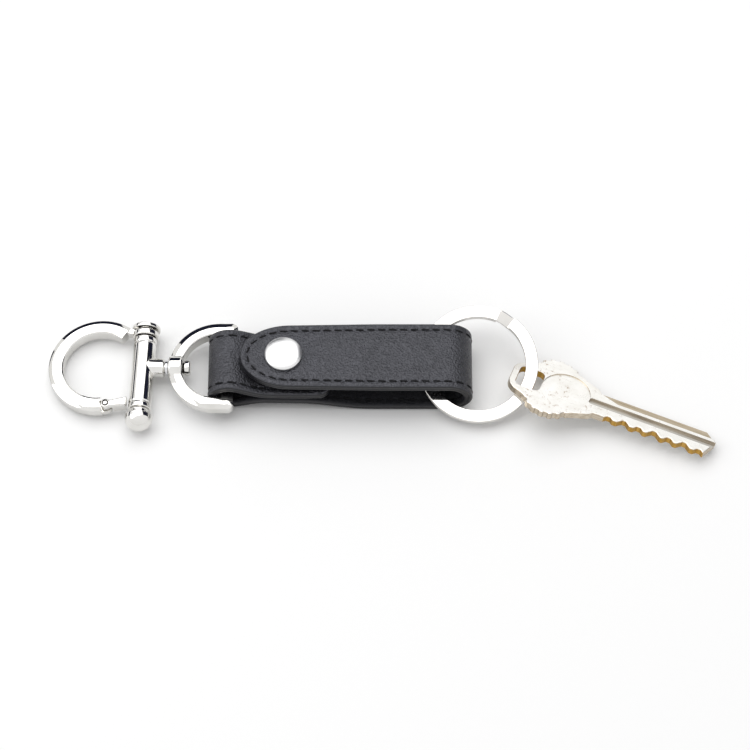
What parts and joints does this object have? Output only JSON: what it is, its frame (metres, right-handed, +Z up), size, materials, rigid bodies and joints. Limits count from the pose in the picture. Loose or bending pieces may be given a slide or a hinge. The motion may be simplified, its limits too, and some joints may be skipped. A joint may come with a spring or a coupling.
{
  "type": "valet keychain",
  "caption": "Folded leather strap with a snap flap that joins a swivelling horseshoe clasp on a D-ring to a flat split ring with a door key.",
  "frame": {"origin": "on the flat of the strap's underside, on its centre line, where it lies on the table", "axes": "+X along the strap from the clasp to the split ring and key, +Z up from the table, the flap and its press fastener on the upper side"},
  "size_m": [0.1676, 0.0393, 0.0142],
  "materials": {
    "grain_leather": "smooth black grain with painted edges",
    "lining_leather": "matt black lining leather",
    "bright_chrome": "polished chrome plate",
    "snap_steel": "dark nickel on pressed steel",
    "ring_nickel": "bright nickel on flat spring steel",
    "key_nickel": "worn nickel plate over brass"
  },
  "bodies": {
    "strap": {"strap_outer": "grain_leather", "strap_lining": "lining_leather", "snap_stud": "snap_steel", "snap_rivet": "snap_steel"},
    "flap": {"flap_outer": "grain_leather", "flap_lining": "lining_leather", "snap_cap": "bright_chrome", "snap_socket": "snap_steel"},
    "d_ring": {"d_ring": "bright_chrome"},
    "clasp": {"bow": "bright_chrome", "cross_barrel": "bright_chrome", "far_cap": "bright_chrome", "near_cap": "bright_chrome", "gate_pin": "bright_chrome", "gate_spring": "snap_steel", "swivel_pin": "bright_chrome", "swivel_washer": "snap_steel"},
    "gate": {"gate": "bright_chrome"},
    "split_ring": {"split_ring": "ring_nickel"},
    "key": {"key": "key_nickel"}
  },
  "joints": [
    {"name": "flap_open", "type": "hinge", "parent": "strap", "child": "flap", "pos_m": [0.0172, 0, 0.0126], "axis": [0, 1, 0], "range_deg": [0, 120]},
    {"name": "d_ring_swing", "type": "hinge", "parent": "strap", "child": "d_ring", "pos_m": [-0.0366, 0, 0.0053], "axis": [0.0436, 0.999, 0], "range_deg": [-75, 100]},
    {"name": "clasp_swivel", "type": "hinge", "parent": "d_ring", "child": "clasp", "pos_m": [-0.05154, 0.00065, 0.00414], "axis": [0.9961, -0.0435, 0.0773], "continuous": true},
    {"name": "gate_open", "type": "hinge", "parent": "clasp", "child": "gate", "pos_m": [-0.06746, -0.00943, 0.00294], "axis": [-0.0773, 0.0034, 0.997], "range_deg": [0, 38], "stiffness_Nm_per_rad": 0.002, "springref_deg": -20.05},
    {"name": "ring_rock", "type": "hinge", "parent": "strap", "child": "split_ring", "pos_m": [0.0259, 0, 0.00607], "axis": [1, 0, 0], "range_deg": [-29, 0]},
    {"name": "key_round", "type": "hinge", "parent": "split_ring", "child": "key", "pos_m": [0.0259, 0.0006, 0.00623], "axis": [0, -0.2504, 0.9681], "range_deg": [-55, 70]}
  ]
}
